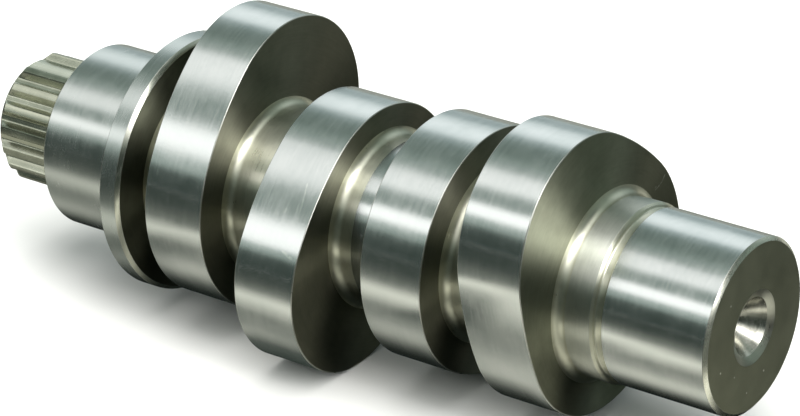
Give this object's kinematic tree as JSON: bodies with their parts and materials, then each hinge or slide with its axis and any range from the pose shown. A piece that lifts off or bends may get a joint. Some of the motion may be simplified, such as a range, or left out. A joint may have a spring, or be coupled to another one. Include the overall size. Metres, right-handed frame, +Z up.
{
  "type": "camshaft",
  "caption": "Short one-piece camshaft with cam lobes between a plain end journal and a flanged outer journal, and a splined drive end with one tooth left out.",
  "frame": {"origin": "on the shaft's axis, in the plane of the thrust face, where the outer journal meets the flange", "axes": "+X along the shaft towards the end journal, +Z up with the shaft lying on its second and third lobes, +Y to the back"},
  "size_m": [0.1268, 0.0464, 0.0454],
  "materials": {
    "ground_steel": "ground lobes and journals, fine-turned faces and necks"
  },
  "bodies": {
    "root": {"camshaft": "ground_steel"}
  },
  "joints": []
}
